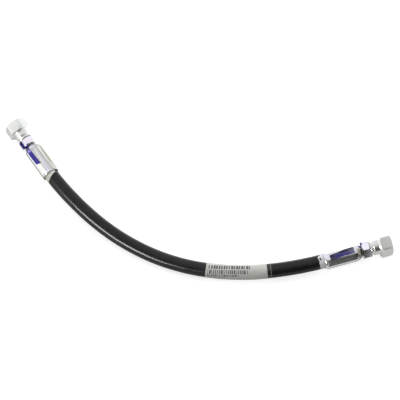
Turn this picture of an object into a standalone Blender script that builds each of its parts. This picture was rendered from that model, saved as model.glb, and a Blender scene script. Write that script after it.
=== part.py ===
"""Hydraulic hose assembly: a two-wire-braid hose with a crimped swivel-nut fitting on each end.

Lengths are in millimetres and become metres where a mesh is made. The row frame has +Z up, its
floor under the hose, and +X along the right fitting. A fitting is drawn in its own frame: +X runs
along its axis from the ferrule's open mouth (station 0) to the swivel nut's open end, +Z is up.
"""
import math

import bmesh
import bpy
from mathutils import Matrix, Vector

MM = 0.001

# The hose: inner and outer radius of each layer, from the bore outwards.
HOSE_LAYERS = {
    "inner_tube": (3.2, 4.5),
    "inner_wire_braid": (4.7, 5.2),
    "friction_layer": (5.4, 5.7),
    "outer_wire_braid": (5.9, 6.4),
    "hose_cover": (6.6, 7.5),
}
HOSE_SIDES = 16
HOSE_GRIP = 34.6          # length of hose inside each ferrule
FREE_SPANS = 16           # lengths that the free hose is divided into

# Centreline of the free hose on the floor, from the left ferrule's mouth to the right one's. The
# heights of its two ends are those of the fittings' axes.
ROUTE = [
    (-139.67, 55.59, 12.5), (-132.47, 37.89, 12.3), (-123.67, 19.99, 11.8), (-113.87, 2.59, 11.0),
    (-102.87, -13.96, 10.0), (-90.57, -29.66, 9.0), (-76.97, -44.26, 8.2), (-62.22, -57.76, 7.7),
    (-46.37, -69.76, 7.5), (-29.57, -80.36, 7.8), (-11.82, -89.41, 8.5), (6.58, -96.96, 9.2),
    (25.48, -103.06, 10.0), (44.88, -107.56, 10.8), (64.58, -110.66, 11.4), (84.33, -112.61, 11.9),
    (103.38, -113.36, 12.1),
]
HEADING = {"left": math.radians(109.3), "right": 0.0}     # each fitting's axis, seen from above

# The wrap-around label and the clear film over it, as distances from the right ferrule's mouth.
LABEL_SPAN = (59.0, 120.7)
FILM_SPAN = (54.9, 121.3)
LABEL_RADII = (7.68, 7.8)
FILM_RADII = (7.93, 8.05)

# The ferrule: a sleeve crimped to eight flats, with a flared mouth and a domed nose.
FERRULE_MOUTH_RADIUS = 9.4
FERRULE_FLAT = 8.65            # axis to a crimped flat
FERRULE_RADIUS = 9.05          # axis to the rounded corner between two flats
FERRULE_BORE = 7.75
FERRULE_END = 39.35
FERRULE_LIP_BORE = 4.9
CRIMP_FLATS = 8

# The stem: barbed tail, wrench hexagon, neck, shoulder and 24 degree cone.
BORE_RADIUS = 2.0
BARB_RADII = (2.6, 2.95)
BARB_PITCH = 5.0
BARB_COUNT = 6
TAIL_START = 4.65
HEX_START = 39.65
HEX_END = 47.45
STEM_HEX_FLAT = 8.5            # half of the 17 mm across the flats
NECK_RADIUS = 5.0
SHOULDER_RADIUS = 6.3
CONE_START = 57.05
CONE_SLOPE = math.tan(math.radians(12.0))
CONE_RADIUS = 6.0
SEAL_STATION = 59.45
SEAL_GROOVE_HALF = 0.9
SEAL_GROOVE_RADIUS = 4.35
SEAL_RADIUS = 5.15             # centre of the O-ring's section
SEAL_SECTION = 0.6
STEM_END = 62.65

# The swivel nut: hexagon with a round tail whose groove is rolled in behind the stem's shoulder.
NUT_START = 48.05
NUT_HEX_START = 58.15
NUT_END = 70.65
NUT_HEX_FLAT = 11.0            # half of the 22 mm across the flats
NUT_CHAMFER_RADIUS = 10.6
TAIL_RADIUS = 7.9
TAIL_BEAD_RADIUS = 8.7
TAIL_GROOVE_RADIUS = 6.9
TAIL_BORE = 6.7
LIP_BORE = 5.35
THREAD_MINOR_RADIUS = 8.2      # M18 x 1.5 internal thread, drawn as its minor diameter
THREAD_MOUTH_RADIUS = 9.2

HEX_SIDES = 6
ROUND_SEGMENTS = 24
CRIMP_SEGMENTS = 32
SEAL_SEGMENTS = 8

# How far each hexagon is turned about its axis, from one flat facing straight up.
NUT_TURN = {"left": math.radians(-17.5), "right": math.radians(12.2)}
STEM_TURN = {"left": math.radians(6.0), "right": math.radians(-10.0)}


def clear_scene():
    for old in list(bpy.data.objects):
        bpy.data.objects.remove(old)


def make_material(name, colour, roughness, metallic=0.0):
    material = bpy.data.materials.new(name)
    material.use_nodes = True
    surface = material.node_tree.nodes["Principled BSDF"]
    surface.inputs["Base Color"].default_value = (*colour, 1.0)
    surface.inputs["Roughness"].default_value = roughness
    surface.inputs["Metallic"].default_value = metallic
    return material


def ring_radius(angle, radius, flat, sides):
    """Distance from the axis to a polygon of the given flat distance, cut down to a circle."""
    if flat is None:
        return radius
    step = 2.0 * math.pi / sides
    from_flat = (angle + step / 2.0) % step - step / 2.0
    return min(radius, flat / math.cos(from_flat))


def join_rings(model, rings, closed):
    """Skin neighbouring rings of equal length with quads; closed also joins the last to the first."""
    pairs = list(zip(rings, rings[1:]))
    if closed:
        pairs.append((rings[-1], rings[0]))
    for first, second in pairs:
        count = len(first)
        for index in range(count):
            after = (index + 1) % count
            model.faces.new((first[index], first[after], second[after], second[index]))


def finish_mesh(name, model):
    bmesh.ops.recalc_face_normals(model, faces=model.faces)
    mesh = bpy.data.meshes.new(name)
    model.to_mesh(mesh)
    model.free()
    mesh.shade_smooth()
    mesh.set_sharp_from_angle(angle=math.radians(25.0))
    return mesh


def turned_mesh(name, outline, segments, sides=HEX_SIDES):
    """Turn a closed outline of (station, radius, flat distance or None) about the local X axis.

    Flats face local +Z, so a hexagon at rest has one flat on top.
    """
    model = bmesh.new()
    rings = []
    for station, radius, flat in outline:
        ring = []
        for index in range(segments):
            angle = 2.0 * math.pi * index / segments
            reach = ring_radius(angle, radius, flat, sides) * MM
            ring.append(model.verts.new((station * MM, -reach * math.sin(angle), reach * math.cos(angle))))
        rings.append(ring)
    join_rings(model, rings, closed=True)
    return finish_mesh(name, model)


def add_piece(name, mesh, material, parent=None, turn=0.0):
    mesh.materials.append(material)
    piece = bpy.data.objects.new(name, mesh)
    piece.rotation_euler = (turn, 0.0, 0.0)
    piece.parent = parent
    bpy.context.scene.collection.objects.link(piece)
    return piece


def ferrule_outline():
    crimped = FERRULE_FLAT
    outer = [
        (0.0, FERRULE_MOUTH_RADIUS, None), (1.1, FERRULE_MOUTH_RADIUS, None),
        (2.3, FERRULE_RADIUS, crimped), (32.35, FERRULE_RADIUS, crimped),
        (34.65, 8.75, None), (36.65, 8.1, None), (38.25, 7.1, None), (FERRULE_END, 5.9, None),
    ]
    inner = [
        (FERRULE_END, FERRULE_LIP_BORE, None), (36.95, FERRULE_LIP_BORE, None), (36.95, 6.4, None),
        (35.05, FERRULE_BORE, None), (1.8, FERRULE_BORE, None), (0.0, 8.6, None),
    ]
    return outer + inner


def stem_outline():
    low, high = BARB_RADII
    outline = [(TAIL_START, low, None)]
    for barb in range(BARB_COUNT):
        start = TAIL_START + barb * BARB_PITCH
        outline += [(start + BARB_PITCH - 0.6, high, None), (start + BARB_PITCH, low, None)]
    chamfer = STEM_HEX_FLAT - 0.2
    corner = STEM_HEX_FLAT * 1.2
    outline += [(35.05, low, None), (35.05, 5.6, None), (36.65, 5.6, None), (36.65, 4.6, None),
                (HEX_START, 4.6, None), (HEX_START, chamfer, None),
                (HEX_START + 0.9, corner, STEM_HEX_FLAT), (HEX_END - 0.9, corner, STEM_HEX_FLAT),
                (HEX_END, chamfer, None), (HEX_END, NECK_RADIUS, None), (52.75, NECK_RADIUS, None),
                (53.25, SHOULDER_RADIUS, None), (56.75, SHOULDER_RADIUS, None),
                (CONE_START, CONE_RADIUS, None)]
    for side in (-SEAL_GROOVE_HALF, SEAL_GROOVE_HALF):
        station = SEAL_STATION + side
        cone = CONE_RADIUS - (station - CONE_START) * CONE_SLOPE
        edge = [(station, cone, None), (station, SEAL_GROOVE_RADIUS, None)]
        outline += edge if side < 0 else edge[::-1]
    tip = CONE_RADIUS - (STEM_END - 0.4 - CONE_START) * CONE_SLOPE
    outline += [(STEM_END - 0.4, tip, None), (STEM_END, tip - 0.6, None),
                (STEM_END, BORE_RADIUS + 0.8, None), (STEM_END - 1.0, BORE_RADIUS, None),
                (TAIL_START, BORE_RADIUS, None)]
    return outline


def nut_outline():
    corner = NUT_HEX_FLAT * 1.2
    return [
        (NUT_START, 8.2, None), (NUT_START + 0.4, TAIL_BEAD_RADIUS, None),
        (NUT_START + 1.3, TAIL_BEAD_RADIUS, None), (NUT_START + 2.0, TAIL_GROOVE_RADIUS, None),
        (NUT_START + 3.2, TAIL_GROOVE_RADIUS, None), (NUT_START + 4.0, TAIL_RADIUS - 0.3, None),
        (NUT_START + 4.6, TAIL_RADIUS, None), (NUT_HEX_START, TAIL_RADIUS, None),
        (NUT_HEX_START, NUT_CHAMFER_RADIUS, None), (NUT_HEX_START + 1.3, corner, NUT_HEX_FLAT),
        (NUT_END - 1.3, corner, NUT_HEX_FLAT), (NUT_END, NUT_CHAMFER_RADIUS, None),
        (NUT_END, THREAD_MOUTH_RADIUS, None), (NUT_END - 1.0, THREAD_MINOR_RADIUS, None),
        (60.25, THREAD_MINOR_RADIUS, None), (59.65, TAIL_BORE, None), (52.45, TAIL_BORE, None),
        (52.05, LIP_BORE, None), (NUT_START + 0.4, LIP_BORE, None), (NUT_START, LIP_BORE + 0.4, None),
    ]


def seal_outline():
    outline = []
    for index in range(SEAL_SEGMENTS):
        angle = 2.0 * math.pi * index / SEAL_SEGMENTS
        outline.append((SEAL_STATION + SEAL_SECTION * math.cos(angle),
                        SEAL_RADIUS + SEAL_SECTION * math.sin(angle), None))
    return outline


def mouth_place(side):
    """Centre of a ferrule's mouth, at the height where that end's nut rests on its lowest corner."""
    x, y, _ = ROUTE[0] if side == "left" else ROUTE[-1]
    corner = math.pi / HEX_SIDES
    return Vector((x, y, NUT_HEX_FLAT / math.cos(corner) * math.cos(corner - abs(NUT_TURN[side]))))


def add_fitting(side, metals):
    frame = bpy.data.objects.new(side + "_end", None)
    frame.location = mouth_place(side) * MM
    frame.rotation_euler = (0.0, 0.0, HEADING[side])
    bpy.context.scene.collection.objects.link(frame)

    outlines = {
        "ferrule": (ferrule_outline(), CRIMP_SEGMENTS, CRIMP_FLATS, metals["ferrule"], 0.0),
        "stem": (stem_outline(), ROUND_SEGMENTS, HEX_SIDES, metals["stem"], STEM_TURN[side]),
        "swivel_nut": (nut_outline(), ROUND_SEGMENTS, HEX_SIDES, metals["nut"], NUT_TURN[side]),
        "cone_seal": (seal_outline(), ROUND_SEGMENTS, HEX_SIDES, metals["seal"], 0.0),
    }
    for piece, (outline, segments, sides, material, turn) in outlines.items():
        name = side + "_" + piece
        add_piece(name, turned_mesh(name, outline, segments, sides), material, frame, turn)


def axis_direction(side):
    return Vector((math.cos(HEADING[side]), math.sin(HEADING[side]), 0.0))


def route_slopes(points):
    """Direction of travel at each route point: along the fittings at both ends."""
    slopes = [(after - before) / 2.0 for before, after in zip(points, points[2:])]
    first = -axis_direction("left") * (points[1] - points[0]).length
    last = axis_direction("right") * (points[-1] - points[-2]).length
    return [first] + slopes + [last]


def hose_line():
    """The whole hose as a list of (distance from the right mouth, point, direction), left to right."""
    points = [mouth_place("left")] + [Vector(point) for point in ROUTE[1:-1]] + [mouth_place("right")]
    slopes = route_slopes(points)
    line = []
    for start, end, leave, arrive in zip(points, points[1:], slopes, slopes[1:]):
        for step in range(8):
            t = step / 8.0
            place = ((2 * t**3 - 3 * t**2 + 1) * start + (t**3 - 2 * t**2 + t) * leave
                     + (-2 * t**3 + 3 * t**2) * end + (t**3 - t**2) * arrive)
            line.append(place)
    line.append(points[-1])
    lengths = [0.0]
    for before, after in zip(line, line[1:]):
        lengths.append(lengths[-1] + (after - before).length)
    return line, [lengths[-1] - length for length in lengths]


def place_at(line, distances, distance):
    """Point and direction at a distance from the right mouth, measured back along the hose."""
    if distance <= 0.0:
        direction = axis_direction("right")
        return line[-1] - direction * distance, direction
    if distance >= distances[0]:
        direction = -axis_direction("left")
        return line[0] - direction * (distance - distances[0]), direction
    for index in range(len(line) - 1):
        if distances[index] >= distance >= distances[index + 1]:
            share = (distances[index] - distance) / (distances[index] - distances[index + 1])
            before = line[max(index - 1, 0)]
            after = line[min(index + 2, len(line) - 1)]
            return line[index].lerp(line[index + 1], share), (after - before).normalized()
    raise ValueError("distance is off the hose")


def sleeve_mesh(name, places, inner, outer):
    """A hollow tube swept through (point, direction) places, with flat rings at its ends."""
    model = bmesh.new()
    shells = []
    for radius in (outer, inner):
        rings = []
        for point, direction in places:
            side = Vector((-direction.y, direction.x, 0.0)).normalized()
            over = direction.cross(side)
            ring = []
            for index in range(HOSE_SIDES):
                angle = 2.0 * math.pi * index / HOSE_SIDES
                spoke = side * math.cos(angle) + over * math.sin(angle)
                ring.append(model.verts.new((point + spoke * radius) * MM))
            rings.append(ring)
        shells.append(rings)
    join_rings(model, shells[0] + shells[1][::-1], closed=True)
    return finish_mesh(name, model)


def add_hose(materials):
    line, distances = hose_line()
    free = distances[0]
    stops = [-HOSE_GRIP] + [free * step / FREE_SPANS for step in range(FREE_SPANS + 1)] + [free + HOSE_GRIP]
    places = [place_at(line, distances, stop) for stop in reversed(stops)]
    for name, (inner, outer) in HOSE_LAYERS.items():
        add_piece(name, sleeve_mesh(name, places, inner, outer), materials[name])

    for name, span, radii in (("label", LABEL_SPAN, LABEL_RADII), ("label_film", FILM_SPAN, FILM_RADII)):
        inside = [stop for stop in stops if span[0] + 1.0 < stop < span[1] - 1.0]
        wraps = [place_at(line, distances, stop) for stop in reversed([span[0]] + inside + [span[1]])]
        add_piece(name, sleeve_mesh(name, wraps, *radii), materials[name])


def main():
    clear_scene()
    black_rubber = make_material("black_rubber", (0.02, 0.02, 0.022), 0.5)
    steel_wire = make_material("steel_wire", (0.62, 0.58, 0.5), 0.35, 1.0)
    zinc = make_material("zinc_plate", (0.72, 0.74, 0.74), 0.25, 1.0)
    nut_zinc = make_material("satin_zinc", (0.66, 0.67, 0.65), 0.45, 1.0)
    seal = make_material("seal_rubber", (0.015, 0.015, 0.015), 0.45)
    hose_materials = {
        "inner_tube": black_rubber,
        "inner_wire_braid": steel_wire,
        "friction_layer": black_rubber,
        "outer_wire_braid": steel_wire,
        "hose_cover": black_rubber,
        "label": make_material("label_paper", (0.8, 0.8, 0.78), 0.6),
        "label_film": make_material("clear_film", (0.85, 0.87, 0.87), 0.15),
    }
    metals = {"ferrule": zinc, "stem": zinc, "nut": nut_zinc, "seal": seal}
    add_hose(hose_materials)
    add_fitting("left", metals)
    add_fitting("right", metals)


main()
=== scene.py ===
"""Looks of the hydraulic hose assembly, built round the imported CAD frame.

Lengths in the tables are in millimetres and become metres where a mesh is made. A fitting is drawn
in its own frame: +X along its axis from the ferrule's open mouth (station 0) to the nut's open end.
An angle round a fitting starts at the top and grows towards the fitting's local -Y.
"""
import math

import bmesh
import bpy
from mathutils import Matrix, Vector, noise


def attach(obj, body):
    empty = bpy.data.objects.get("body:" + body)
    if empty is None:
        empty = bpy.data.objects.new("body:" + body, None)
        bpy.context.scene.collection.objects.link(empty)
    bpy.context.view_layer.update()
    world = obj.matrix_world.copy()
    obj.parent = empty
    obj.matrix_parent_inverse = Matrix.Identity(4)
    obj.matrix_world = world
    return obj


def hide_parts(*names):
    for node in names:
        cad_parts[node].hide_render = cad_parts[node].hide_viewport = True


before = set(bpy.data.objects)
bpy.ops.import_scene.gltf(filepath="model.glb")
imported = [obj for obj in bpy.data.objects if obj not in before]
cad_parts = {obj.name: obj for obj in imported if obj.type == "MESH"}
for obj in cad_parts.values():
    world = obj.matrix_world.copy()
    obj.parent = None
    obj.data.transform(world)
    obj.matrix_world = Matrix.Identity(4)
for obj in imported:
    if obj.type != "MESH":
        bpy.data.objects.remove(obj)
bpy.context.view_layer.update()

MM = 0.001
scene = bpy.context.scene

# ---------------------------------------------------------------- camera

VIEW_AZIMUTH = math.radians(-15.95)
VIEW_ELEVATION = math.radians(67.0)
VIEW_DISTANCE = 1.55
VIEW_AIM = Vector((0.00129, -0.01302, 0.009))
LENS = 135.0


def add_camera():
    back = Vector((math.sin(VIEW_AZIMUTH) * math.cos(VIEW_ELEVATION),
                   -math.cos(VIEW_AZIMUTH) * math.cos(VIEW_ELEVATION), math.sin(VIEW_ELEVATION)))
    camera = bpy.data.objects.new("camera", bpy.data.cameras.new("camera"))
    camera.data.lens = LENS
    camera.data.sensor_width = 36.0
    camera.location = VIEW_AIM + back * VIEW_DISTANCE
    camera.rotation_mode = "QUATERNION"
    camera.rotation_quaternion = (-back).to_track_quat("-Z", "Y")
    camera.data.clip_start = 0.05
    camera.data.clip_end = 50.0
    scene.collection.objects.link(camera)
    scene.camera = camera


add_camera()

# ---------------------------------------------------------------- the hose's line

NUT_HEX_FLAT = 11.0
HEADING = {"left": math.radians(109.3), "right": 0.0}
NUT_TURN = {"left": math.radians(-17.5), "right": math.radians(12.2)}
STEM_TURN = {"left": math.radians(6.0), "right": math.radians(-10.0)}
# Centreline of the free hose, the same list as in part.py.
ROUTE = [
    (-139.67, 55.59, 12.5), (-132.47, 37.89, 12.3), (-123.67, 19.99, 11.8), (-113.87, 2.59, 11.0),
    (-102.87, -13.96, 10.0), (-90.57, -29.66, 9.0), (-76.97, -44.26, 8.2), (-62.22, -57.76, 7.7),
    (-46.37, -69.76, 7.5), (-29.57, -80.36, 7.8), (-11.82, -89.41, 8.5), (6.58, -96.96, 9.2),
    (25.48, -103.06, 10.0), (44.88, -107.56, 10.8), (64.58, -110.66, 11.4), (84.33, -112.61, 11.9),
    (103.38, -113.36, 12.1),
]
HOSE_RADIUS = 7.5
HEX_SIDES = 6
COVER_BORE = 6.6
COVER_GRIP = 29.0            # cover drawn this far into each ferrule
STEPS_PER_SPAN = 20


def axis_direction(side):
    return Vector((math.cos(HEADING[side]), math.sin(HEADING[side]), 0.0))


def mouth_place(side):
    """Centre of a ferrule's mouth, at the height where that end's nut rests on its lowest corner."""
    x, y, _ = ROUTE[0] if side == "left" else ROUTE[-1]
    corner = math.pi / HEX_SIDES
    return Vector((x, y, NUT_HEX_FLAT / math.cos(corner) * math.cos(corner - abs(NUT_TURN[side]))))


def smooth(value, low, high):
    share = min(max((value - low) / (high - low), 0.0), 1.0)
    return share * share * (3.0 - 2.0 * share)


class HoseLine:
    """The hose's centreline, measured back from the right ferrule's mouth."""

    def __init__(self):
        points = [mouth_place("left")] + [Vector(point) for point in ROUTE[1:-1]] + [mouth_place("right")]
        slopes = [(after - before) / 2.0 for before, after in zip(points, points[2:])]
        first = -axis_direction("left") * (points[1] - points[0]).length
        last = axis_direction("right") * (points[-1] - points[-2]).length
        slopes = [first] + slopes + [last]
        self.points = []
        for start, end, leave, arrive in zip(points, points[1:], slopes, slopes[1:]):
            for step in range(STEPS_PER_SPAN):
                t = step / STEPS_PER_SPAN
                self.points.append((2 * t**3 - 3 * t**2 + 1) * start + (t**3 - 2 * t**2 + t) * leave
                                   + (-2 * t**3 + 3 * t**2) * end + (t**3 - t**2) * arrive)
        self.points.append(points[-1])
        lengths = [0.0]
        for before, after in zip(self.points, self.points[1:]):
            lengths.append(lengths[-1] + (after - before).length)
        self.free = lengths[-1]
        self.distances = [self.free - length for length in lengths]

    def at(self, distance):
        """Point, direction of travel, sideways and upward directions."""
        if distance <= 0.0:
            direction = axis_direction("right")
            point = self.points[-1] - direction * distance
        elif distance >= self.free:
            direction = -axis_direction("left")
            point = self.points[0] - direction * (distance - self.free)
        else:
            index = 0
            while self.distances[index + 1] > distance:
                index += 1
            gap = self.distances[index] - self.distances[index + 1]
            share = (self.distances[index] - distance) / gap
            last = len(self.points) - 1
            before = self.points[index] - self.points[max(index - 1, 0)]
            middle = self.points[index + 1] - self.points[index]
            after = self.points[min(index + 2, last)] - self.points[min(index + 1, last - 1)]
            direction = ((before + middle).lerp(middle + after, share)).normalized()
            point = self.points[index].lerp(self.points[index + 1], share)
        side = Vector((-direction.y, direction.x, 0.0)).normalized()
        return point, direction, side, direction.cross(side)


hose = HoseLine()


def grid_object(name, rows, lay_rows, shut=False):
    """Skin equal closed rows of points; shut joins the last row to the first in place of end caps."""
    model = bmesh.new()
    layers = [[model.verts.new(point * MM) for point in row] for row in rows]
    pairs = list(zip(layers, layers[1:]))
    if shut:
        pairs.append((layers[-1], layers[0]))
    count = len(rows[0])
    for first, second in pairs:
        for index in range(count):
            after = (index + 1) % count
            model.faces.new((first[index], first[after], second[after], second[index]))
    if not shut:
        model.faces.new(layers[0])
        model.faces.new(layers[-1])
    bmesh.ops.recalc_face_normals(model, faces=model.faces)
    mesh = bpy.data.meshes.new(name)
    model.to_mesh(mesh)
    model.free()
    lay = mesh.attributes.new("lay", "FLOAT_VECTOR", "POINT")
    lay.data.foreach_set("vector", [value for row in lay_rows for triple in row for value in triple])
    mesh.shade_smooth()
    mesh.set_sharp_from_angle(angle=math.radians(32.0))
    piece = bpy.data.objects.new(name, mesh)
    scene.collection.objects.link(piece)
    return piece


COVER_SIDES = 72
COVER_STEP = 1.15            # length of cover between two rings


def add_cover():
    """The outer rubber cover: a tube with a faint unevenness, round the wire."""
    rings = int((hose.free + 2 * COVER_GRIP) / COVER_STEP)
    outer, inner, outer_lay, inner_lay = [], [], [], []
    for ring in range(rings + 1):
        distance = hose.free + COVER_GRIP - (hose.free + 2 * COVER_GRIP) * ring / rings
        point, _, side, over = hose.at(distance)
        free = smooth(distance, 0.0, 12.0) * smooth(hose.free - distance, 0.0, 12.0)
        wall, bore, lay = [], [], []
        for index in range(COVER_SIDES):
            angle = 2.0 * math.pi * index / COVER_SIDES
            spoke = side * math.cos(angle) + over * math.sin(angle)
            swell = noise.noise((point + spoke * HOSE_RADIUS) * 0.11) * 0.05 * free
            wall.append(point + spoke * (HOSE_RADIUS + swell - 0.03 * free))
            bore.append(point + spoke * COVER_BORE)
            lay.append((distance * MM, math.cos(angle), math.sin(angle)))
        outer.append(wall)
        inner.append(bore)
        outer_lay.append(lay)
        inner_lay.append(lay)
    return grid_object("cover", outer + inner[::-1], outer_lay + inner_lay[::-1], shut=True)


LABEL_SPAN = (59.0, 120.7)     # distances from the right ferrule's mouth
FILM_SPAN = (54.9, 121.3)
LABEL_RADIUS = 7.56
LABEL_WALL = 0.1
FILM_RADIUS = 7.83
FILM_TAIL_RADIUS = 7.54
FILM_WALL = 0.05
WRAP_START = -80.0           # degrees round the hose, from its far side over the top
WRAP_SWEEP = 400.0
WRAP_COLUMNS = 120
WRAP_STEP = 0.9


def add_wrap(name, span, radius_at, wall):
    """A sheet wrapped once round the hose, its last 40 degrees lapping over its first."""
    rows, lay_rows = [], []
    count = int((span[1] - span[0]) / WRAP_STEP)
    for row in range(count + 1):
        distance = span[1] - (span[1] - span[0]) * row / count
        point, _, side, over = hose.at(distance)
        outer, inner, lay = [], [], []
        for column in range(WRAP_COLUMNS + 1):
            turn = WRAP_START + WRAP_SWEEP * column / WRAP_COLUMNS
            angle = math.radians(turn)
            spoke = side * math.cos(angle) + over * math.sin(angle)
            lap = smooth(turn, WRAP_START + 310.0, WRAP_START + 358.0)
            radius = radius_at(distance) + (wall + 0.03) * lap
            outer.append(point + spoke * (radius + wall))
            inner.append(point + spoke * radius)
            lay.append((distance * MM, turn, 0.0))
        rows.append(outer + inner[::-1])
        lay_rows.append(lay + lay[::-1])
    return grid_object(name, rows, lay_rows)


cover = add_cover()
label_piece = add_wrap("wrap_label", LABEL_SPAN, lambda distance: LABEL_RADIUS, LABEL_WALL)
film_piece = add_wrap(
    "wrap_film", FILM_SPAN,
    lambda distance: FILM_TAIL_RADIUS + (FILM_RADIUS - FILM_TAIL_RADIUS) * smooth(distance, 58.0, 59.0),
    FILM_WALL)

for piece, node, slot in ((cover, "hose_cover", "cover_rubber"), (label_piece, "label", "label_paper"),
                          (film_piece, "label_film", "clear_film")):
    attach(piece, "hose_assembly")
    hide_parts(node)

cord_path = [hose.at(hose.free + COVER_GRIP)[0] * MM]
cord_path += [mouth_place("left") * MM] + [Vector(point) * MM for point in ROUTE[1:-1]]
cord_path.append(mouth_place("right") * MM)
cord_path.append(hose.at(-COVER_GRIP)[0] * MM)

# ---------------------------------------------------------------- fittings


def polygon_radius(angle, flat, sides, fillet):
    """Distance from the axis to a polygon with rounded corners; a flat faces angle 0."""
    half = math.pi / sides
    from_flat = (angle + half) % (2.0 * half) - half
    from_corner = half - abs(from_flat)
    centre = (flat - fillet) / math.cos(half)
    if from_corner < corner_reach(flat, sides, fillet):
        across = centre * math.sin(from_corner)
        return centre * math.cos(from_corner) + math.sqrt(fillet * fillet - across * across)
    return flat / math.cos(from_flat)


def corner_reach(flat, sides, fillet):
    """Angle from a corner to where its fillet meets the flat."""
    half = math.pi / sides
    centre = (flat - fillet) / math.cos(half)
    return math.atan2(fillet * math.sin(half), centre + fillet * math.cos(half))


def corner_angles(sides, reach, fine, coarse):
    """Angles round the axis, with fine steps over each corner and coarse ones over each flat."""
    angles = []
    for side in range(sides):
        corner = (side + 0.5) * 2.0 * math.pi / sides
        angles += [corner + reach * (2.0 * step / fine - 1.0) for step in range(fine)]
        gap = 2.0 * math.pi / sides - 2.0 * reach
        angles += [corner + reach + gap * step / coarse for step in range(coarse)]
    return angles


def round_rings(points, angles):
    """Rings of one radius from (station, radius, cut) corners, each corner cut to a small curve."""
    rings = []
    for index, (station, radius, cut) in enumerate(points):
        here = Vector((station, radius))
        if cut and 0 < index < len(points) - 1:
            before = Vector(points[index - 1][:2]) - here
            after = Vector(points[index + 1][:2]) - here
            start = here + before.normalized() * min(cut, before.length * 0.48)
            end = here + after.normalized() * min(cut, after.length * 0.48)
            for step in range(5):
                t = step / 4.0
                place = start * (1 - t)**2 + here * 2 * t * (1 - t) + end * t**2
                rings.append([(place.x, place.y)] * len(angles))
        else:
            rings.append([(station, radius)] * len(angles))
    return rings


CHAMFER = math.tan(math.radians(30.0))


def hexagon_rings(start, end, flat, fillet, face_radius, angles, soft=0.12):
    """A hexagon with cone-chamfered ends; the rings follow the curved edge of each chamfer."""
    rings = []
    for edge, inward in ((start, 1.0), (end, -1.0)):
        reaches = [polygon_radius(angle, flat, HEX_SIDES, fillet) for angle in angles]
        creases = [(reach - face_radius) * CHAMFER for reach in reaches]
        group = [[(edge, face_radius - soft)] * len(angles),
                 [(edge + inward * soft * 0.3, face_radius)] * len(angles)]
        for back in (-1.0, 0.0, 1.0):
            ring = []
            for reach, crease in zip(reaches, creases):
                room = min(1.0, crease / soft)
                lean = soft * back * room
                under = -lean / CHAMFER if back < 0 else soft * 0.22 * (1.0 - back)
                ring.append((edge + inward * (crease + lean + soft * 0.3), reach - under * room))
            group.append(ring)
        rings += group if inward > 0 else group[::-1]
    return rings


def turned_object(name, rings, angles, turn):
    """Turn rings about the fitting's axis; lay keeps each point's place in the fitting's own frame."""
    rows = [[Vector((station, -radius * math.sin(angle + turn), radius * math.cos(angle + turn)))
             for (station, radius), angle in zip(ring, angles)] for ring in rings]
    return grid_object(name, rows, [[point * MM for point in row] for row in rows], shut=True)


CRIMP_DIES = 8
RIDGE_WIDTH = math.radians(2.3)
RIDGE_HEIGHT = 0.2
DIE_FLAT = 8.62
DIE_ROUND = 8.74
DIE_FLATNESS = 0.72          # share of a true flat in each die face
FERRULE_END = 39.35
SLEEVE = (2.9, 31.8)         # stations between the mouth's outline and the nose's
SLEEVE_RADIUS = 9.0
SLEEVE_STEPS = 12


def die_radius(angle):
    """The crimped sleeve's radius: eight die faces, a fine ridge squeezed up between each two."""
    step = 2.0 * math.pi / CRIMP_DIES
    from_face = (angle + step / 2.0) % step - step / 2.0
    from_ridge = step / 2.0 - abs(from_face)
    face = DIE_FLATNESS * DIE_FLAT / math.cos(from_face) + (1.0 - DIE_FLATNESS) * DIE_ROUND
    return face + RIDGE_HEIGHT * math.exp(-(from_ridge / RIDGE_WIDTH)**2)


# Outlines of the ferrule's rolled mouth and of its nose, as (station, radius).
FERRULE_BELL = [(0.0, 8.7), (0.06, 8.88), (0.18, 9.03), (0.4, 9.14), (0.7, 9.18), (1.1, 9.17),
                (1.6, 9.1), (2.2, 9.02), (2.9, 9.0)]
FERRULE_NOSE = [(31.8, 9.0), (32.6, 9.06), (33.3, 9.1), (34.0, 9.04), (34.7, 8.88), (35.4, 8.62),
                (36.1, 8.28), (36.8, 7.84), (37.4, 7.38), (38.0, 6.86), (38.5, 6.34), (38.9, 5.9),
                (39.2, 5.56), (FERRULE_END, 5.25)]


def add_ferrule(name, turn):
    """The crimped sleeve: rolled mouth, die faces along its length, domed nose, and its bore."""
    angles = corner_angles(CRIMP_DIES, math.radians(5.0), 12, 6)
    low, high = SLEEVE
    sleeve = [(low + (high - low) * step / SLEEVE_STEPS, SLEEVE_RADIUS) for step in range(1, SLEEVE_STEPS)]
    rings = []
    for station, radius in FERRULE_BELL + sleeve + FERRULE_NOSE:
        crimp = smooth(station, 1.2, 2.9) * (1.0 - smooth(station, 31.6, 34.2))
        rings.append([(station, radius + (die_radius(angle) - radius) * crimp) for angle in angles])
    rings += round_rings([(FERRULE_END, 5.0, 0.0), (39.15, 4.9, 0.0), (36.95, 4.9, 0.2), (36.95, 6.4, 0.2),
                          (35.05, 7.75, 0.3), (1.6, 7.75, 0.5), (0.0, 8.45, 0.0)], angles)
    return turned_object(name, rings, angles, turn)


STEM_HEX_FLAT = 8.5
STEM_FILLET = 0.4
STEM_HEX = (39.65, 47.45)      # stations of the hexagon's two ends
STEM_BORE = 2.0
TAIL_START = 4.65
BARBS = 6
BARB_PITCH = 5.0


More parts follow.
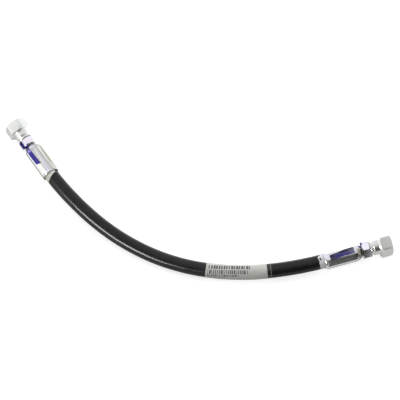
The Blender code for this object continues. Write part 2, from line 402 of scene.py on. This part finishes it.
def add_stem(name, turn):
    """Barbed tail, collar, wrench hexagon, neck, shoulder and the grooved cone, round one bore."""
    angles = corner_angles(HEX_SIDES, corner_reach(STEM_HEX_FLAT, HEX_SIDES, STEM_FILLET), 5, 9)
    start, end = STEM_HEX
    tail = [(TAIL_START, STEM_BORE, 0.0), (TAIL_START, 2.6, 0.0)]
    for barb in range(BARBS):
        root = TAIL_START + barb * BARB_PITCH
        tail += [(root + 4.4, 2.95, 0.1), (root + BARB_PITCH, 2.6, 0.1)]
    tail += [(35.05, 2.6, 0.1), (35.05, 5.6, 0.1), (36.65, 5.6, 0.1), (36.65, 4.6, 0.1),
             (start, 4.6, 0.2), (start, 7.9, 0.0)]
    nose = [(end, 7.9, 0.0), (end, 5.0, 0.3), (52.75, 5.0, 0.2), (53.25, 6.3, 0.3), (56.75, 6.3, 0.2),
            (57.05, 6.0, 0.1), (58.55, 5.68, 0.1), (58.55, 4.35, 0.1), (60.35, 4.35, 0.1),
            (60.35, 5.3, 0.1), (62.25, 4.9, 0.25), (62.65, 4.3, 0.2), (62.65, 2.8, 0.2),
            (61.65, STEM_BORE, 0.2), (TAIL_START + 0.1, STEM_BORE, 0.0)]
    rings = round_rings(tail, angles)
    rings += hexagon_rings(start, end, STEM_HEX_FLAT, STEM_FILLET, 8.2, angles)
    rings += round_rings(nose, angles)
    return turned_object(name, rings, angles, turn)


NUT_FILLET = 1.2
NUT_HEX = (58.15, 70.65)       # stations of the hexagon's two ends
NUT_EDGE_CURVE = 0.16
THREAD_PITCH = 1.5
THREAD_DEPTH = 0.8
THREAD_MINOR = 8.2
THREAD_SPAN = (60.45, 69.55)


def thread_rings(angles):
    """The internal thread as a true helix, run out at both ends."""
    rings = []
    low, high = THREAD_SPAN
    count = int((high - low) / THREAD_PITCH * 10)
    for step in range(count + 1):
        station = high - (high - low) * step / count
        fade = smooth(station, low, low + 1.0) * (1.0 - smooth(station, high - 0.6, high))
        ring = []
        for angle in angles:
            phase = (station / THREAD_PITCH - angle / (2.0 * math.pi)) % 1.0
            rise = min(max((abs(phase - 0.5) * 2.0 - 0.12) / 0.76, 0.0), 1.0)
            ring.append((station, THREAD_MINOR + THREAD_DEPTH * rise * fade))
        rings.append(ring)
    return rings


def add_nut(name, turn):
    """Swivel nut: a rolled-in round tail, then the hexagon with its threaded bore."""
    angles = corner_angles(HEX_SIDES, corner_reach(NUT_HEX_FLAT, HEX_SIDES, NUT_FILLET), 5, 10)
    start, end = NUT_HEX
    tail = [(48.15, 5.45, 0.0), (48.05, 5.75, 0.0), (48.05, 8.3, 0.3), (48.45, 8.68, 0.3),
            (49.35, 8.7, 0.3), (49.95, 7.05, 0.3), (50.55, 6.9, 0.3), (51.25, 6.95, 0.3),
            (51.95, 7.72, 0.3), (52.65, 7.9, 0.4), (57.55, 7.9, 0.5), (start, 8.35, 0.0),
            (start, 10.2, 0.0)]
    mouth = [(end, 10.3, 0.0), (end, 9.25, 0.15), (end - 1.0, THREAD_MINOR, 0.0)]
    bore = [(60.35, THREAD_MINOR, 0.0), (59.65, 6.7, 0.3), (52.45, 6.7, 0.3), (52.05, 5.35, 0.2),
            (48.35, 5.35, 0.0)]
    rings = round_rings(tail, angles)
    rings += hexagon_rings(start, end, NUT_HEX_FLAT, NUT_FILLET, 10.55, angles, NUT_EDGE_CURVE)
    rings += round_rings(mouth, angles) + thread_rings(angles) + round_rings(bore, angles)
    return turned_object(name, rings, angles, turn)


SEAL_STATION = 59.45
SEAL_RADIUS = 5.15
SEAL_CORD = 0.6              # radius of the ring's own round section
SEAL_STEPS = 20
SEAL_SIDES = 64


def add_seal(name, turn):
    angles = [2.0 * math.pi * index / SEAL_SIDES for index in range(SEAL_SIDES)]
    rings = []
    for step in range(SEAL_STEPS):
        bend = 2.0 * math.pi * step / SEAL_STEPS
        place = (SEAL_STATION + SEAL_CORD * math.cos(bend), SEAL_RADIUS + SEAL_CORD * math.sin(bend))
        rings.append([place] * len(angles))
    return turned_object(name, rings, angles, turn)


# ---------------------------------------------------------------- materials


class Look:
    """One procedural material; its methods are short names for shader nodes."""

    def __init__(self, name, local=False):
        self.material = bpy.data.materials.new(name)
        self.material.use_nodes = True
        self.nodes = self.material.node_tree.nodes
        self.surface = self.nodes["Principled BSDF"]
        if local:
            self.place = self.node("ShaderNodeAttribute", attribute_name="lay").outputs["Vector"]
        else:
            self.place = self.node("ShaderNodeTexCoord").outputs["Object"]

    def node(self, kind, **settings):
        made = self.nodes.new(kind)
        for key, value in settings.items():
            setattr(made, key, value)
        return made

    def put(self, socket, value):
        if isinstance(value, bpy.types.NodeSocket):
            self.material.node_tree.links.new(value, socket)
        elif isinstance(value, (tuple, list)) and len(value) == 3 and socket.type == "RGBA":
            socket.default_value = (*value, 1.0)
        else:
            socket.default_value = value

    def set(self, **inputs):
        for key, value in inputs.items():
            self.put(self.surface.inputs[key.replace("_", " ")], value)

    def math(self, operation, *values):
        made = self.node("ShaderNodeMath", operation=operation)
        for socket, value in zip(made.inputs, values):
            self.put(socket, value)
        return made.outputs[0]

    def add(self, *values):
        return self.math("ADD", *values)

    def times(self, *values):
        return self.math("MULTIPLY", *values)

    def inside(self, value, low, high, edge):
        """1 where value lies between low and high, with soft edges."""
        return self.times(self.span(value, self.add(low, -edge), self.add(low, edge)),
                          self.span(value, self.add(high, edge), self.add(high, -edge)))

    def span(self, value, low, high, to_low=0.0, to_high=1.0):
        made = self.node("ShaderNodeMapRange", interpolation_type="SMOOTHSTEP")
        for key, item in zip(("Value", "From Min", "From Max", "To Min", "To Max"),
                             (value, low, high, to_low, to_high)):
            self.put(made.inputs[key], item)
        return made.outputs["Result"]

    def mix(self, share, low, high):
        made = self.node("ShaderNodeMix", data_type="RGBA")
        for index, item in ((0, share), (6, low), (7, high)):
            self.put(made.inputs[index], item)
        return made.outputs[2]

    def stretch(self, factors, offset=(0.0, 0.0, 0.0)):
        made = self.node("ShaderNodeMapping")
        self.put(made.inputs["Vector"], self.place)
        made.inputs["Scale"].default_value = factors
        made.inputs["Location"].default_value = offset
        return made.outputs["Vector"]

    def noise(self, scale, where=None, detail=2.0, rough=0.5):
        made = self.node("ShaderNodeTexNoise")
        self.put(made.inputs["Vector"], self.place if where is None else where)
        made.inputs["Scale"].default_value = scale
        made.inputs["Detail"].default_value = detail
        made.inputs["Roughness"].default_value = rough
        return made.outputs["Fac"]

    def split(self, vector):
        made = self.node("ShaderNodeSeparateXYZ")
        self.put(made.inputs[0], vector)
        return made.outputs

    def lay(self):
        return self.split(self.node("ShaderNodeAttribute", attribute_name="lay").outputs["Vector"])

    def bump(self, height, depth, under=None):
        made = self.node("ShaderNodeBump")
        made.inputs["Distance"].default_value = depth
        self.put(made.inputs["Height"], height)
        if under is not None:
            self.put(made.inputs["Normal"], under)
        return made.outputs["Normal"]


def wrapped_angle(look, parts):
    """Degrees round a fitting from its top, towards local -Y."""
    return look.math("DEGREES", look.math("ARCTAN2", look.times(parts[1], -1.0), parts[2]))


def paint_mark(look, side):
    """How thick the blue slip mark lies: 0 bare, 1 thick. side is left or right."""
    parts = look.split(look.place)
    station = look.times(parts[0], 1000.0)
    angle = wrapped_angle(look, parts)
    ragged = look.add(look.noise(700.0, detail=3.0), -0.5)
    grain = look.noise(1.0, look.stretch((90.0, 1400.0, 1400.0)), 3.0)
    if side == "left":
        angle = look.add(angle, look.times(ragged, 9.0))
        shift = look.times(look.add(station, -30.0), 0.22)
        station = look.add(station, look.times(ragged, 2.2))
        slant = look.times(look.add(angle, 42.0), 0.07)
        stroke = look.inside(look.add(angle, shift), -59.0, -22.5, 2.4)
        reach = look.inside(look.add(station, slant), 15.2, 48.2, 0.35)
        thin = look.times(look.inside(station, 31.5, 39.3, 1.4), 0.1)
        whole = look.times(look.times(stroke, reach), look.math("SUBTRACT", 1.0, thin))
        return look.times(whole, look.span(grain, 0.3, 0.45, 0.82, 1.0))
    angle = look.add(angle, look.times(ragged, 7.0))
    top = look.span(station, 2.0, 34.0, -9.0, -27.5)
    low = look.span(station, 8.0, 20.0, 28.0, 22.0)
    stroke = look.inside(angle, top, low, 1.6)
    reach = look.inside(look.add(station, look.times(ragged, 2.0)), 5.2, 31.4, 0.4)
    film = look.span(grain, 0.32, 0.6, 0.82, 1.0)
    worn = look.span(station, 24.0, 33.0, 1.0, 0.8)
    cover_share = look.times(film, worn)
    return look.times(look.times(stroke, reach), cover_share)


def zinc_look(name, side):
    """Bright zinc plate with drawn streaks, faint passivation colours, painted shade and a painted grey
    reflection on set sides of each ferrule, and the blue slip mark.
    """
    look = Look(name, local=True)
    streaks = look.noise(1.0, look.stretch((70.0, 1500.0, 1500.0)), 3.0)
    patches = look.noise(1.0, look.stretch((60.0, 420.0, 420.0), (3.1, 1.7, 0.4)), 2.0)
    clouds = look.noise(160.0, detail=4.0)
    cool = look.mix(look.span(patches, 0.38, 0.62), (0.80, 0.81, 0.72), (0.80, 0.78, 0.90))
    colour = look.mix(look.span(clouds, 0.35, 0.7, 0.0, 0.5), cool, (0.84, 0.85, 0.84))
    rough = look.span(streaks, 0.3, 0.7, 0.13, 0.27)
    parts = look.split(look.place)
    station, turned = look.times(parts[0], 1000.0), wrapped_angle(look, parts)
    bands = look.noise(1.0, look.stretch((25.0, 750.0, 750.0), (0.3, 0.9, 2.2)), 2.0)
    if side == "left":
        # Painted shade: dark olive over the ferrule's two lower sides, away from its top, standing for the
        # dark reflection there; the thin dark lines along the axis are streaks in the plate.
        painted_shade_and_streaks = look.times(look.span(turned, -5.0, 28.0), look.span(bands, 0.4, 0.6, 0.3, 1.0))
        painted_shade_and_streaks = look.math("MAXIMUM", painted_shade_and_streaks, look.times(look.span(turned, -60.0, -72.0), 0.8))
        lines = look.noise(1.0, look.stretch((18.0, 1150.0, 1150.0), (1.1, 0.2, 0.7)), 2.0)
        painted_shade_and_streaks = look.math("MAXIMUM", painted_shade_and_streaks, look.times(look.span(lines, 0.48, 0.6), 0.5))
        colour = look.mix(painted_shade_and_streaks, colour, (0.27, 0.275, 0.215))
    else:
        # Painted reflection: a grey band along one upper side of the ferrule.
        painted_grey_band = look.times(look.inside(turned, -62.0, -46.0, 5.0), 0.7)
        colour = look.mix(painted_grey_band, colour, (0.42, 0.41, 0.40))
        # Painted shade: dark brown over one side of the domed nose, standing for the dark reflection
        # there.
        painted_dark_nose = look.times(look.span(station, 33.0, 35.5), look.span(turned, -22.0, 8.0))
        painted_dark_nose = look.times(painted_dark_nose, look.span(bands, 0.35, 0.6, 0.75, 1.0))
        colour = look.mix(painted_dark_nose, colour, (0.17, 0.155, 0.12))
    paint = paint_mark(look, side)
    blues = (0.025, 0.019, 0.14)
    if side == "right":
        fade = look.span(turned, -16.0, 8.0)
        tip = look.span(station, 8.5, 13.0)
        blues = look.mix(look.times(fade, tip), (0.006, 0.004, 0.045), (0.032, 0.027, 0.17))
    look.set(Base_Color=look.mix(paint, colour, blues), Metallic=1.0,
             Roughness=look.math("MAXIMUM", rough, look.times(paint, 0.42)))
    height = look.add(look.times(streaks, 0.6), look.times(look.noise(2600.0, detail=3.0), 0.4))
    look.set(Normal=look.bump(height, 0.00005))
    return look.material


def nut_look():
    """Duller zinc plate: fine turning lines on the round tail, soft speckle on the flats."""
    look = Look("satin_zinc", local=True)
    speckle = look.noise(900.0, detail=4.0)
    drawn = look.noise(1.0, look.stretch((60.0, 1100.0, 1100.0)), 3.0)
    rings = look.noise(1.0, look.stretch((4200.0, 60.0, 60.0)), 2.0)
    parts = look.split(look.place)
    station = look.times(parts[0], 1000.0)
    tail = look.span(station, 58.25, 57.95)
    colour = look.mix(look.span(speckle, 0.3, 0.7), (0.66, 0.67, 0.645), (0.71, 0.715, 0.70))
    colour = look.mix(look.times(tail, 0.6), colour, (0.76, 0.765, 0.74))
    rough = look.mix(tail, look.span(speckle, 0.3, 0.7, 0.34, 0.46), look.span(rings, 0.3, 0.7, 0.2, 0.3))
    lines = look.add(look.times(rings, look.span(tail, 0.0, 1.0, 0.15, 1.0)),
                     look.add(look.times(drawn, 0.7), look.times(speckle, 0.5)))
    look.set(Base_Color=colour, Metallic=1.0, Roughness=rough, Normal=look.bump(lines, 0.00004))
    return look.material


def rubber_look():
    """The hose's cover: finely uneven black rubber, with the pale depth mark at each end."""
    look = Look("cover_rubber")
    lay = look.lay()
    distance = look.times(lay[0], 1000.0)
    ragged = look.add(look.noise(330.0, detail=4.0, rough=0.6), -0.5)
    near = look.add(look.span(lay[1], 0.4, 0.85, 6.0, 2.2), look.times(ragged, 3.4))
    right = look.span(look.math("SUBTRACT", near, distance), -0.12, 0.25)
    nick = look.times(look.inside(look.add(distance, look.times(ragged, 1.5)), 3.4, 5.0, 0.25),
                      look.times(look.inside(lay[1], -0.15, 0.22, 0.06), look.span(lay[2], 0.0, 0.2)))
    right = look.times(right, look.math("SUBTRACT", 1.0, nick))
    far = look.add(look.add(3.6, look.times(lay[1], -2.6)), look.times(ragged, 1.6))
    left = look.span(look.math("SUBTRACT", distance, look.math("SUBTRACT", hose.free, far)), -0.12, 0.25)
    # Partly painted shade: the left mark is left off on one side of the hose, so the bare black rubber
    # stands for the shadow crescent at the ferrule's mouth; the mark's ragged, uneven width is its own.
    left = look.times(left, look.span(lay[1], 0.66, 0.45))
    scuffs = look.noise(95.0, detail=5.0, rough=0.65)
    base = look.mix(look.span(scuffs, 0.35, 0.75), (0.0075, 0.0073, 0.0078), (0.0125, 0.012, 0.0125))
    dirt = look.noise(900.0, detail=3.0)
    pale = look.mix(look.span(dirt, 0.35, 0.65), (0.54, 0.52, 0.54), (0.74, 0.71, 0.74))
    beige = look.mix(look.span(dirt, 0.35, 0.65), (0.60, 0.60, 0.53), (0.76, 0.76, 0.69))
    worn = look.span(look.noise(1300.0, detail=4.0, rough=0.7), 0.3, 0.42)
    colour = look.mix(look.times(right, look.span(worn, 0.0, 1.0, 0.55, 1.0)), base, pale)
    colour = look.mix(look.times(left, look.span(worn, 0.0, 1.0, 0.65, 1.0)), colour, beige)
    marks = look.math("MAXIMUM", left, right)
    rough = look.add(look.span(scuffs, 0.3, 0.8, 0.24, 0.32), look.times(marks, 0.3))
    fine = look.noise(2600.0, detail=3.0)
    broad = look.noise(480.0, detail=2.0)
    normal = look.bump(look.add(look.times(fine, 0.35), look.times(broad, 0.65)), 0.000011)
    look.set(Base_Color=colour, Roughness=rough, IOR=1.36, Normal=look.bump(marks, 0.00004, normal))
    return look.material


def print_row(look, along, turn, pitch, fill, span, lanes, seed):
    """One row of plain printed dashes that say nothing: 1 where there is ink."""
    cell = look.times(along, 1.0 / pitch)
    dice = look.node("ShaderNodeTexWhiteNoise", noise_dimensions="1D")
    look.put(dice.inputs["W"], look.add(look.math("FLOOR", cell), seed))
    width = look.span(dice.outputs["Value"], 0.0, 1.0, fill[0], fill[1])
    bar = look.span(look.math("SUBTRACT", width, look.math("FRACT", cell)), -0.04, 0.04)
    return look.times(bar, look.times(look.inside(along, span[0], span[1], 0.05),
                                      look.inside(turn, lanes[0], lanes[1], 1.2)))


def paper_look():
    """White label stock with four rows of plain bars and dashes, and a blank end."""
    look = Look("label_paper")
    lay = look.lay()
    along = look.math("SUBTRACT", LABEL_SPAN[1], look.times(lay[0], 1000.0))
    turn = look.add(lay[1], look.span(along, -12.0, 32.0, -16.0, 0.0))
    rows = (
        (2.55, (0.42, 0.80), (1.8, 45.7), (55.0, 86.0), 3.0),
        (1.90, (0.30, 0.80), (2.2, 42.5), (94.0, 125.0), 17.0),
        (1.55, (0.35, 0.85), (1.8, 33.0), (132.0, 146.0), 31.0),
        (1.25, (0.35, 0.80), (1.8, 20.0), (156.0, 166.0), 47.0),
    )
    ink = None
    for row in rows:
        made = print_row(look, along, turn, *row)
        ink = made if ink is None else look.math("MAXIMUM", ink, made)
    worn = look.span(look.noise(1500.0, detail=3.0), 0.3, 0.5, 0.7, 1.0)
    tone = look.noise(240.0, detail=3.0)
    paper = look.mix(look.span(tone, 0.3, 0.7), (0.47, 0.475, 0.44), (0.52, 0.525, 0.495))
    look.set(Base_Color=look.mix(look.times(ink, worn), paper, (0.035, 0.035, 0.035)),
             Roughness=look.span(tone, 0.3, 0.7, 0.45, 0.6),
             Normal=look.bump(look.noise(3500.0, detail=2.0), 0.00001))
    return look.material


def film_look():
    """Clear laminate over the label: little but its gloss, and milky at the end by the right ferrule."""
    look = Look("clear_film")
    lay = look.lay()
    distance = look.times(lay[0], 1000.0)
    near = look.span(distance, FILM_SPAN[0] + 0.5, FILM_SPAN[0] + 0.1)
    smear = look.noise(260.0, detail=4.0)
    bubbles = look.span(look.noise(600.0, detail=2.0), 0.62, 0.72)
    milk = look.add(look.times(near, 0.3), look.times(bubbles, 0.02))
    look.set(Base_Color=look.mix(smear, (0.62, 0.64, 0.52), (0.78, 0.79, 0.72)),
             Roughness=look.span(smear, 0.3, 0.7, 0.12, 0.26),
             Alpha=look.add(milk, 0.015),
             Normal=look.bump(smear, 0.00002))
    return look.material


def seal_look(name, tone, scale):
    look = Look(name)
    spots = look.noise(scale, detail=3.0)
    look.set(Base_Color=look.mix(spots, (tone, tone, tone), (tone * 2.0, tone * 2.0, tone * 2.1)),
             Roughness=look.span(spots, 0.3, 0.7, 0.35, 0.5), Normal=look.bump(spots, 0.00003))
    return look.material


def braid_look():
    """Brass-coated steel wire, braided both ways round the hose."""
    look = Look("steel_wire")
    weaves = []
    for turn in (0.9, -0.9):
        made = look.node("ShaderNodeTexWave", wave_type="BANDS", bands_direction="X")
        mapped = look.node("ShaderNodeMapping")
        look.put(mapped.inputs["Vector"], look.place)
        mapped.inputs["Rotation"].default_value = (0.0, 0.0, turn)
        look.put(made.inputs["Vector"], mapped.outputs["Vector"])
        made.inputs["Scale"].default_value = 900.0
        made.inputs["Distortion"].default_value = 0.4
        weaves.append(made.outputs["Fac"])
    over = look.math("MAXIMUM", *weaves)
    look.set(Base_Color=look.mix(over, (0.20, 0.15, 0.08), (0.66, 0.56, 0.36)), Metallic=1.0,
             Roughness=look.span(over, 0.0, 1.0, 0.5, 0.28), Normal=look.bump(over, 0.0001))
    return look.material


def give(piece, material):
    piece.data.materials.clear()
    piece.data.materials.append(material)


give(cover, rubber_look())
give(label_piece, paper_look())
give(film_piece, film_look())
tube_rubber = seal_look("tube_rubber", 0.012, 300.0)
braid = braid_look()
for node, material in (("inner_tube", tube_rubber), ("friction_layer", tube_rubber),
                       ("inner_wire_braid", braid), ("outer_wire_braid", braid)):
    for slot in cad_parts[node].material_slots:
        slot.material = material

nut_metal = nut_look()
seal_rubber = seal_look("seal_rubber", 0.009, 1500.0)


def add_fitting(side):
    """The four pieces of one end; each stands for its CAD node and rides on its body."""
    end = Matrix.Translation(mouth_place(side) * MM) @ Matrix.Rotation(HEADING[side], 4, "Z")
    zinc = zinc_look(side + "_zinc", side)
    pieces = (
        ("ferrule", add_ferrule, 0.0, "hose_assembly", "zinc_plate", zinc),
        ("stem", add_stem, STEM_TURN[side], "hose_assembly", "zinc_plate", stem_look(side)),
        ("swivel_nut", add_nut, NUT_TURN[side], side + "_nut", "nut_zinc", nut_metal),
        ("cone_seal", add_seal, 0.0, "hose_assembly", "seal_rubber", seal_rubber),
    )
    for kind, build, turn, body, slot, material in pieces:
        piece = build(side + "_" + kind + "_piece", turn)
        piece.data.transform(end)
        give(piece, material)
        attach(piece, body)
        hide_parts(side + "_" + kind)


def stem_look(side):
    """The stem's plating: as the ferrule's, with the mark's own end on the hexagon."""
    look = Look(side + "_stem_zinc", local=True)
    streaks = look.noise(1.0, look.stretch((300.0, 900.0, 900.0)), 3.0)
    patches = look.noise(190.0, detail=2.0)
    colour = look.mix(look.span(patches, 0.38, 0.62), (0.84, 0.87, 0.94), (0.93, 0.87, 0.92))
    parts = look.split(look.place)
    station = look.times(parts[0], 1000.0)
    angle = wrapped_angle(look, parts)
    ragged = look.add(look.noise(700.0, detail=3.0), -0.5)
    angle = look.add(angle, look.times(ragged, 10.0))
    if side == "left":
        paint = look.times(look.inside(angle, -74.0, -43.0, 2.5), look.span(station, 38.9, 39.4))
    else:
        chamfer = look.span(station, 41.8, 40.2)
        paint = look.times(look.inside(angle, -62.0, -22.0, 4.0), chamfer)
    rough = look.span(streaks, 0.3, 0.7, 0.12, 0.24)
    look.set(Base_Color=look.mix(paint, colour, (0.02, 0.018, 0.13)), Metallic=1.0,
             Roughness=look.math("MAXIMUM", rough, look.times(paint, 0.4)),
             Normal=look.bump(streaks, 0.00004))
    return look.material


add_fitting("left")
add_fitting("right")

# ---------------------------------------------------------------- floor and light

FLOOR_SIZE = 6.0
FLOOR_DROP = 0.0002
FLOOR_WHITE = 0.72             # glow that the camera sees
BEND_CENTRE = (0.1, 0.15, 0.0)
BEND_REACH = (0.24, 0.28)      # where the glow falls off, as distances from the bend's centre
BEND_GLOW = 1.15
OUTER_GLOW = 0.2


def add_floor():
    """A glowing floor: evenly white to the camera; to all else a painted pool of light inside the hose's
    bend, dimmer outside.
    """
    model = bmesh.new()
    bmesh.ops.create_grid(model, x_segments=1, y_segments=1, size=FLOOR_SIZE)
    mesh = bpy.data.meshes.new("floor")
    model.to_mesh(mesh)
    model.free()
    floor = bpy.data.objects.new("floor", mesh)
    floor.location.z = -FLOOR_DROP
    scene.collection.objects.link(floor)
    look = Look("glowing_floor")
    seen = look.node("ShaderNodeLightPath").outputs["Is Camera Ray"]
    reach = look.node("ShaderNodeVectorMath", operation="DISTANCE")
    look.put(reach.inputs[0], look.place)
    reach.inputs[1].default_value = BEND_CENTRE
    # Painted pool of light: to every ray but the camera's, the floor glows brighter inside the hose's
    # bend.
    glow = look.span(reach.outputs["Value"], *BEND_REACH, BEND_GLOW, OUTER_GLOW)
    unseen = look.math("SUBTRACT", 1.0, seen)
    look.set(Base_Color=(0.55, 0.55, 0.55), Roughness=0.9, Emission_Color=(1.0, 1.0, 1.0),
             Emission_Strength=look.add(look.times(seen, FLOOR_WHITE), look.times(unseen, glow)))
    give(floor, look.material)


def add_world():
    """A studio as a light dome: bright behind the object and at both sides, dark behind the camera."""
    world = bpy.data.worlds.new("studio")
    world.use_nodes = True
    scene.world = world
    nodes, links = world.node_tree.nodes, world.node_tree.links
    viewer = Vector((math.sin(VIEW_AZIMUTH), -math.cos(VIEW_AZIMUTH), 0.0))
    right = Vector((math.cos(VIEW_AZIMUTH), math.sin(VIEW_AZIMUTH), 0.0))
    way = nodes.new("ShaderNodeTexCoord").outputs["Generated"]

    def along(direction):
        made = nodes.new("ShaderNodeVectorMath")
        made.operation = "DOT_PRODUCT"
        links.new(way, made.inputs[0])
        made.inputs[1].default_value = direction
        return made.outputs["Value"]

    def ramp(value, stops):
        made = nodes.new("ShaderNodeValToRGB")
        scaled = nodes.new("ShaderNodeMath")
        scaled.operation = "MULTIPLY_ADD"
        links.new(value, scaled.inputs[0])
        scaled.inputs[1].default_value = 0.5
        scaled.inputs[2].default_value = 0.5
        links.new(scaled.outputs[0], made.inputs[0])
        marks = made.color_ramp.elements
        while len(marks) < len(stops):
            marks.new(0.5)
        for mark, (position, colour) in zip(marks, stops):
            mark.position = position * 0.5 + 0.5
            mark.color = (*colour, 1.0)
        return made.outputs["Color"]

    depth = ramp(along(viewer), [
        (-1.0, (0.85, 0.87, 0.95)), (-0.62, (1.0, 1.0, 1.06)), (-0.3, (0.86, 0.86, 0.88)),
        (-0.05, (0.70, 0.70, 0.69)), (0.2, (0.60, 0.61, 0.58)), (0.42, (0.05, 0.055, 0.045)),
        (1.0, (0.03, 0.03, 0.03))])
    sides = ramp(along(right), [
        (-0.9, (0.6, 0.6, 0.6)), (-0.46, (0.16, 0.16, 0.16)), (-0.2, (0.0, 0.0, 0.0)),
        (0.35, (0.0, 0.0, 0.0)), (0.6, (0.14, 0.14, 0.14)), (0.9, (0.4, 0.4, 0.4))])
    total = nodes.new("ShaderNodeMix")
    total.data_type = "RGBA"
    total.blend_type = "ADD"
    total.clamp_result = False
    total.inputs[0].default_value = 1.0
    links.new(depth, total.inputs[6])
    links.new(sides, total.inputs[7])
    shine = nodes["Background"]
    links.new(total.outputs[2], shine.inputs["Color"])
    shine.inputs["Strength"].default_value = 1.0


FILL_PLACE = Vector((0.35, 1.1, 2.4))
FILL_TARGET = Vector((0.0, -0.02, 0.0))
STRIP_PLACE = Vector((-1.71, -0.89, 0.92))
STRIP_TARGET = Vector((-0.05, -0.05, 0.0))
STRIP_RUN = Vector((0.5, -0.86, 0.0))      # rough direction of the strip's long side


def add_fill():
    """A wide soft sun that lights the floor and the rough surfaces, and shows in no reflection."""
    fill = bpy.data.lights.new("fill", "SUN")
    fill.energy = 0.9
    fill.angle = math.radians(75.0)
    lamp = bpy.data.objects.new("fill", fill)
    lamp.location = FILL_PLACE
    lamp.rotation_mode = "QUATERNION"
    lamp.rotation_quaternion = (FILL_TARGET - FILL_PLACE).to_track_quat("-Z", "Y")
    lamp.visible_glossy = False
    scene.collection.objects.link(lamp)


def add_strip():
    """A long strip light that shows only in reflections: the highlight along the hose."""
    strip = bpy.data.lights.new("strip", "AREA")
    strip.shape = "RECTANGLE"
    strip.size = 1.25
    strip.size_y = 0.27
    strip.energy = 66.0
    lamp = bpy.data.objects.new("strip", strip)
    lamp.location = STRIP_PLACE
    inward = (STRIP_TARGET - STRIP_PLACE).normalized()
    over = STRIP_RUN.normalized().cross(inward).normalized()
    run = inward.cross(over).normalized()
    turn = Matrix((run, over, -inward)).transposed()
    lamp.rotation_mode = "QUATERNION"
    lamp.rotation_quaternion = turn.to_quaternion()
    lamp.visible_diffuse = False
    scene.collection.objects.link(lamp)


add_floor()
add_world()
add_fill()
add_strip()
scene.view_settings.view_transform = "Standard"
